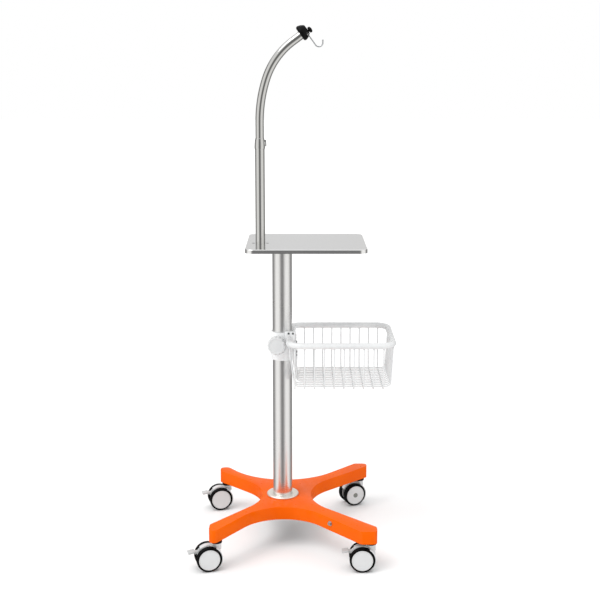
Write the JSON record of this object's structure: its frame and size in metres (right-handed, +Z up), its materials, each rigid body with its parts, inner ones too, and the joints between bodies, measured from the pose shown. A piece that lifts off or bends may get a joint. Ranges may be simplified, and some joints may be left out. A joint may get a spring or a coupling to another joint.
{
  "type": "monitor roll stand",
  "caption": "Wheeled hospital stand for a patient monitor: cross base on braked casters, steel column, shelf, wire basket on a clamp, and a telescopic arm with a cable hook.",
  "frame": {"origin": "on the floor, at the centre of the object's footprint box", "axes": "+Z up, +Y away from the front of the stand, +X to the right, where the basket hangs and the arm's end points"},
  "size_m": [0.62, 0.573, 1.5767],
  "materials": {
    "base_paint": "glossy orange powder coat",
    "dark_cover": "matte black plate",
    "stainless_steel": "polished stainless steel with a fine brushed grain",
    "zinc_steel": "zinc plated steel",
    "dark_screw": "blackened steel",
    "black_plastic": "satin moulded plastic",
    "liner_plastic": "smooth bearing plastic",
    "white_plastic": "satin moulded plastic",
    "white_coating": "white plastic coated wire",
    "caster_housing": "satin moulded nylon",
    "axle_steel": "bright turned steel",
    "tyre_rubber": "matte black tread",
    "wheel_cover": "light grey moulded disc",
    "pedal_plastic": "light grey moulded plastic"
  },
  "bodies": {
    "stand": {"base_shell": "base_paint", "base_cover": "dark_cover", "cover_screws": "zinc_steel", "column_plate": "zinc_steel", "column_flange": "zinc_steel", "column_bolts": "zinc_steel", "column_tube": "stainless_steel", "tray_bracket": "zinc_steel", "tray_nuts": "zinc_steel", "tray": "stainless_steel", "arm_foot": "stainless_steel", "arm_foot_screws": "dark_screw", "arm_lower_tube": "stainless_steel", "arm_collar": "stainless_steel", "ground_screw": "zinc_steel", "caster_stems": "zinc_steel"},
    "arm_turn": {"arm_bush": "black_plastic"},
    "arm": {"arm_upper_tube": "stainless_steel", "arm_cap": "black_plastic"},
    "knob": {"cap_knob": "black_plastic"},
    "hook": {"cable_hook": "zinc_steel"},
    "lever": {"collar_lever": "stainless_steel"},
    "clamp_slider": {"clamp_liner": "liner_plastic"},
    "basket": {"clamp_body": "white_plastic", "clamp_screws": "dark_screw", "basket_rim": "white_coating", "basket_hanger": "white_coating", "basket_front_wires": "white_coating", "basket_back_wires": "white_coating", "basket_left_wires": "white_coating", "basket_right_wires": "white_coating", "basket_floor_wires": "white_coating"},
    "clamp_knob": {"clamp_knob": "white_plastic"},
    "swivel_fl": {"housing_fl": "caster_housing", "axle_fl": "axle_steel"},
    "wheel_near_fl": {"tyre_near_fl": "tyre_rubber", "hub_near_fl": "wheel_cover"},
    "wheel_far_fl": {"tyre_far_fl": "tyre_rubber", "hub_far_fl": "wheel_cover"},
    "pedal_fl": {"pedal_fl": "pedal_plastic"},
    "swivel_fr": {"housing_fr": "caster_housing", "axle_fr": "axle_steel"},
    "wheel_near_fr": {"tyre_near_fr": "tyre_rubber", "hub_near_fr": "wheel_cover"},
    "wheel_far_fr": {"tyre_far_fr": "tyre_rubber", "hub_far_fr": "wheel_cover"},
    "pedal_fr": {"pedal_fr": "pedal_plastic"},
    "swivel_bl": {"housing_bl": "caster_housing", "axle_bl": "axle_steel"},
    "wheel_near_bl": {"tyre_near_bl": "tyre_rubber", "hub_near_bl": "wheel_cover"},
    "wheel_far_bl": {"tyre_far_bl": "tyre_rubber", "hub_far_bl": "wheel_cover"},
    "pedal_bl": {"pedal_bl": "pedal_plastic"},
    "swivel_br": {"housing_br": "caster_housing", "axle_br": "axle_steel"},
    "wheel_near_br": {"tyre_near_br": "tyre_rubber", "hub_near_br": "wheel_cover"},
    "wheel_far_br": {"tyre_far_br": "tyre_rubber", "hub_far_br": "wheel_cover"}
  },
  "joints": [
    {"name": "arm_turn", "type": "hinge", "parent": "stand", "child": "arm_turn", "pos_m": [-0.09604, -0.04072, 1.24], "axis": [0, 0, 1], "continuous": true},
    {"name": "arm_slide", "type": "slide", "parent": "arm_turn", "child": "arm", "axis": [0, 0, 1], "range_m": [-0.045, 0.16]},
    {"name": "cap_knob_turn", "type": "hinge", "parent": "arm", "child": "knob", "pos_m": [0.05084, -0.04072, 1.56376], "axis": [0.809, 0, 0.5878], "continuous": true},
    {"name": "hook_swing", "type": "hinge", "parent": "arm", "child": "hook", "pos_m": [0.04113, -0.04072, 1.55671], "axis": [0.809, 0, 0.5878], "range_deg": [-55, 55]},
    {"name": "collar_lever_tilt", "type": "hinge", "parent": "stand", "child": "lever", "pos_m": [-0.07949, -0.04072, 1.2445], "axis": [0, -1, 0], "range_deg": [0, 40]},
    {"name": "clamp_slide", "type": "slide", "parent": "stand", "child": "clamp_slider", "axis": [0, 0, 1], "range_m": [-0.31, 0.2]},
    {"name": "basket_turn", "type": "hinge", "parent": "clamp_slider", "child": "basket", "pos_m": [-0.03204, 0.00428, 0.62], "axis": [0, 0, 1], "continuous": true},
    {"name": "clamp_knob_turn", "type": "hinge", "parent": "basket", "child": "clamp_knob", "pos_m": [-0.04666, -0.04354, 0.626], "axis": [-0.2924, -0.9563, 0], "continuous": true},
    {"name": "swivel_fl", "type": "hinge", "parent": "stand", "child": "swivel_fl", "pos_m": [-0.22404, -0.24272, 0.08], "axis": [0, 0, 1], "continuous": true},
    {"name": "roll_near_fl", "type": "hinge", "parent": "swivel_fl", "child": "wheel_near_fl", "pos_m": [-0.24916, -0.24945, 0.0375], "axis": [0.2588, -0.9659, 0], "continuous": true},
    {"name": "roll_far_fl", "type": "hinge", "parent": "swivel_fl", "child": "wheel_far_fl", "pos_m": [-0.24916, -0.24945, 0.0375], "axis": [0.2588, -0.9659, 0], "continuous": true},
    {"name": "brake_fl", "type": "hinge", "parent": "swivel_fl", "child": "pedal_fl", "pos_m": [-0.27813, -0.25722, 0.0545], "axis": [0.2588, -0.9659, 0], "range_deg": [0, 15]},
    {"name": "swivel_fr", "type": "hinge", "parent": "stand", "child": "swivel_fr", "pos_m": [0.23096, -0.25272, 0.08], "axis": [0, 0, 1], "continuous": true},
    {"name": "roll_near_fr", "type": "hinge", "parent": "swivel_fr", "child": "wheel_near_fr", "pos_m": [0.20496, -0.25272, 0.0375], "axis": [0, -1, 0], "continuous": true},
    {"name": "roll_far_fr", "type": "hinge", "parent": "swivel_fr", "child": "wheel_far_fr", "pos_m": [0.20496, -0.25272, 0.0375], "axis": [0, -1, 0], "continuous": true},
    {"name": "brake_fr", "type": "hinge", "parent": "swivel_fr", "child": "pedal_fr", "pos_m": [0.17496, -0.25272, 0.0545], "axis": [0, -1, 0], "range_deg": [0, 15]},
    {"name": "swivel_bl", "type": "hinge", "parent": "stand", "child": "swivel_bl", "pos_m": [-0.22204, 0.21428, 0.08], "axis": [0, 0, 1], "continuous": true},
    {"name": "roll_near_bl", "type": "hinge", "parent": "swivel_bl", "child": "wheel_near_bl", "pos_m": [-0.24716, 0.20755, 0.0375], "axis": [0.2588, -0.9659, 0], "continuous": true},
    {"name": "roll_far_bl", "type": "hinge", "parent": "swivel_bl", "child": "wheel_far_bl", "pos_m": [-0.24716, 0.20755, 0.0375], "axis": [0.2588, -0.9659, 0], "continuous": true},
    {"name": "brake_bl", "type": "hinge", "parent": "swivel_bl", "child": "pedal_bl", "pos_m": [-0.27613, 0.19978, 0.0545], "axis": [0.2588, -0.9659, 0], "range_deg": [0, 15]},
    {"name": "swivel_br", "type": "hinge", "parent": "stand", "child": "swivel_br", "pos_m": [0.22296, 0.25628, 0.08], "axis": [0, 0, 1], "continuous": true},
    {"name": "roll_near_br", "type": "hinge", "parent": "swivel_br", "child": "wheel_near_br", "pos_m": [0.19885, 0.24654, 0.0375], "axis": [0.3746, -0.9272, 0], "continuous": true},
    {"name": "roll_far_br", "type": "hinge", "parent": "swivel_br", "child": "wheel_far_br", "pos_m": [0.19885, 0.24654, 0.0375], "axis": [0.3746, -0.9272, 0], "continuous": true}
  ]
}
